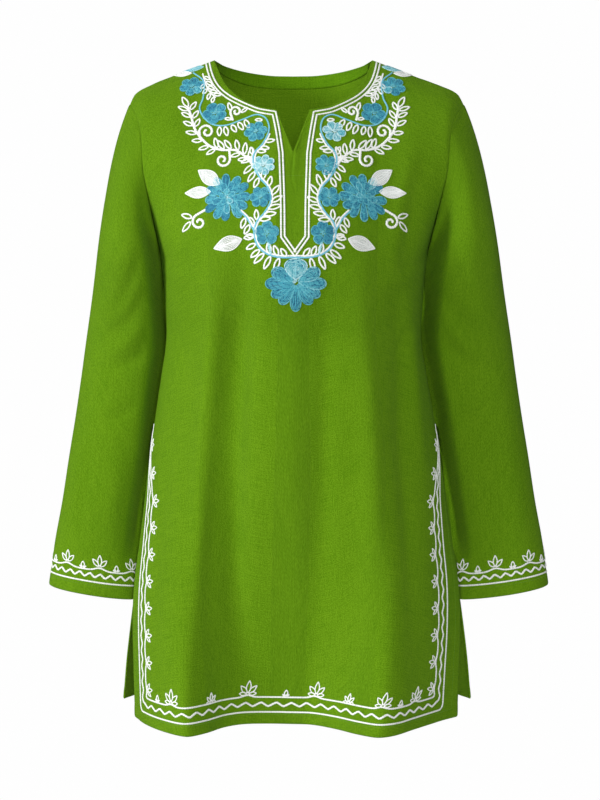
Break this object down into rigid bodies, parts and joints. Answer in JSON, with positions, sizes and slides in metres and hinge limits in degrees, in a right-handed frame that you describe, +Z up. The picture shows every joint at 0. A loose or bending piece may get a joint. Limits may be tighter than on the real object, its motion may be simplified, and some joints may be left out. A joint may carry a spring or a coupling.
{
  "type": "kurti",
  "caption": "Hip-length A-line cotton tunic with long set-in sleeves, rounded neck with a front slit, open side slits and embroidered borders, hollow as worn.",
  "frame": {"origin": "midway between the two points where the shoulder seams meet the neck edge, where a wearer's neck and shoulders hold the garment", "axes": "+Z up, towards the neck; +X to the wearer's left; the wearer faces -Y"},
  "size_m": [0.576, 0.289, 0.7446],
  "materials": {
    "green_cotton": "plain weave, matt",
    "neck_facing": "plain weave, matt"
  },
  "bodies": {
    "root": {"front": "green_cotton", "back": "green_cotton", "sleeve_right": "green_cotton", "sleeve_left": "green_cotton", "back_neck_facing": "neck_facing"}
  },
  "joints": []
}
